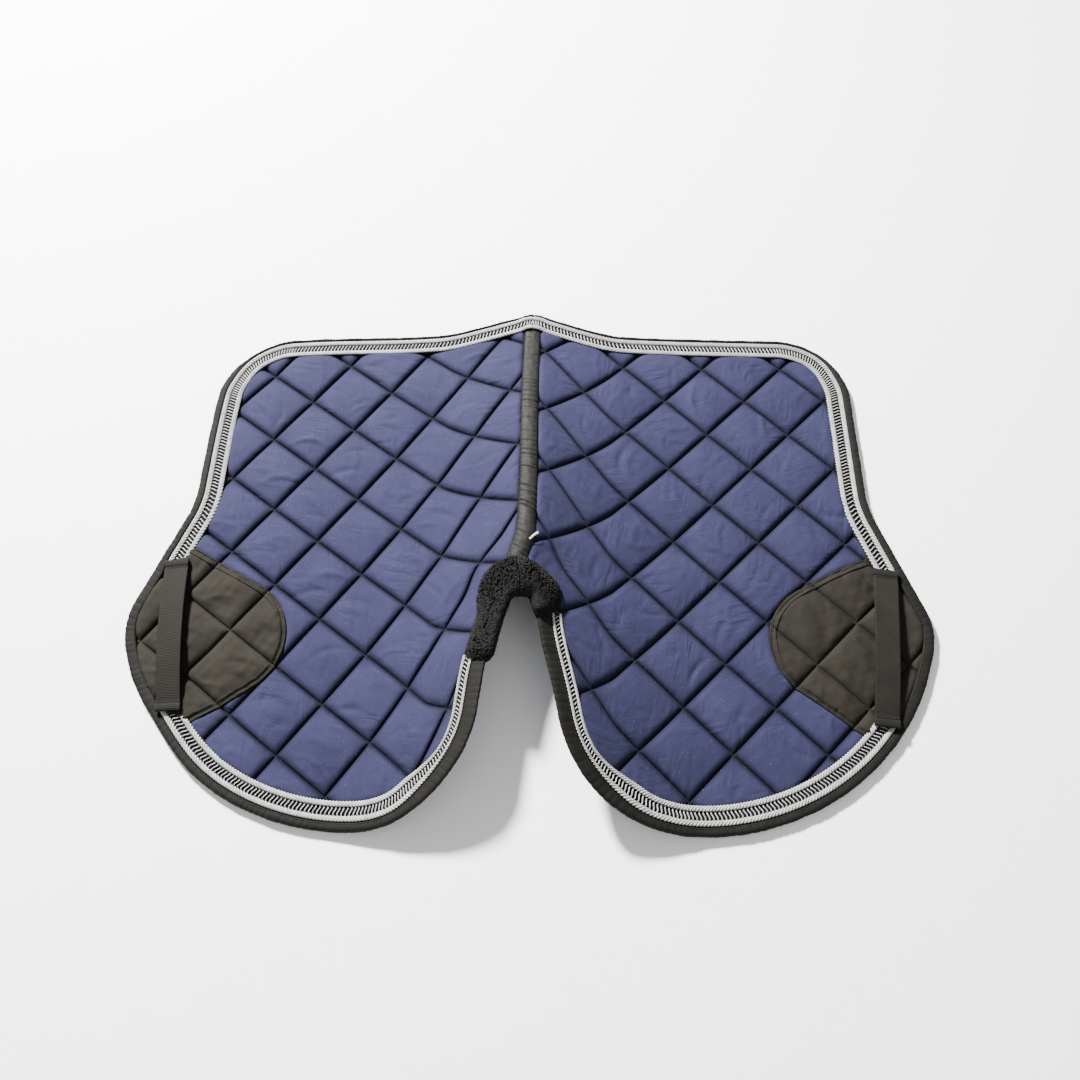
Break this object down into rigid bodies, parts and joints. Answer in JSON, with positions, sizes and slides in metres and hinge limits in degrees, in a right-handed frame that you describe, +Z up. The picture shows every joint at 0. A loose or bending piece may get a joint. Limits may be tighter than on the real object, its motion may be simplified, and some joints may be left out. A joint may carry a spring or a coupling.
{
  "type": "saddle pad",
  "caption": "Contoured jumping saddle pad with diamond quilting, corded trim, girth loops over dark patches and a fleece wither arch, folding along its spine",
  "frame": {"origin": "middle of the pad's bounding box, on the surface that the opened pad lies on", "axes": "+Z up, -Y towards the front of the pad (the wither arch and the flaps), +X to the horse's left"},
  "size_m": [0.9714, 0.708, 0.0955],
  "materials": {
    "quilted_cotton": "matte woven cotton in blue-violet navy, quilted into puffy squares set on their corners",
    "wadding": "soft white polyester wadding",
    "lining": "matte dark brushed cotton",
    "binding": "dark warm charcoal binding tape, slightly shiny",
    "white_cord": "twisted white cotton rope cord",
    "ladder_braid": "white rung braid over a black ground",
    "girth_patch": "tight charcoal nylon twill, faintly shiny",
    "patch_edging": "folded charcoal twill hem with topstitching",
    "webbing": "ribbed charcoal webbing",
    "dark_thread": "dark twisted sewing thread",
    "quilting_thread": "dark navy quilting thread",
    "fleece": "black curly pile fleece",
    "seam_label": "plain white folded tape, blank"
  },
  "bodies": {
    "spine": {"spine_wadding": "wadding", "spine_tape": "binding", "spine_lining_tape": "lining", "spine_edge_binding": "binding", "spine_trim": "white_cord", "spine_fleece": "fleece", "seam_label": "seam_label"},
    "left_panel": {"left_quilted_cover": "quilted_cotton", "left_wadding": "wadding", "left_lining": "lining", "left_edge_binding": "binding", "left_girth_patch": "girth_patch", "left_girth_patch_edging": "patch_edging", "left_girth_strap": "webbing", "left_girth_strap_upper_fold": "webbing", "left_girth_strap_lower_fold": "webbing", "left_girth_strap_stitching": "dark_thread", "left_wither_fleece": "fleece", "left_rear_outer_cord": "white_cord", "left_rear_ladder_braid": "ladder_braid", "left_rear_inner_cord": "white_cord", "left_flap_outer_cord": "white_cord", "left_flap_ladder_braid": "ladder_braid", "left_flap_inner_cord": "white_cord", "left_quilting_thread": "quilting_thread"},
    "right_panel": {"right_quilted_cover": "quilted_cotton", "right_wadding": "wadding", "right_lining": "lining", "right_edge_binding": "binding", "right_girth_patch": "girth_patch", "right_girth_patch_edging": "patch_edging", "right_girth_strap": "webbing", "right_girth_strap_upper_fold": "webbing", "right_girth_strap_lower_fold": "webbing", "right_girth_strap_stitching": "dark_thread", "right_wither_fleece": "fleece", "right_rear_outer_cord": "white_cord", "right_rear_ladder_braid": "ladder_braid", "right_rear_inner_cord": "white_cord", "right_flap_outer_cord": "white_cord", "right_flap_ladder_braid": "ladder_braid", "right_flap_inner_cord": "white_cord", "right_quilting_thread": "quilting_thread"}
  },
  "joints": [
    {"name": "left_fold", "type": "hinge", "parent": "spine", "child": "left_panel", "pos_m": [0.016, 0, 0.06191], "axis": [0, 0.9911, -0.1333], "range_deg": [-85, 50]},
    {"name": "right_fold", "type": "hinge", "parent": "spine", "child": "right_panel", "pos_m": [-0.016, 0, 0.06191], "axis": [0, -0.9911, 0.1333], "range_deg": [-85, 50]}
  ]
}
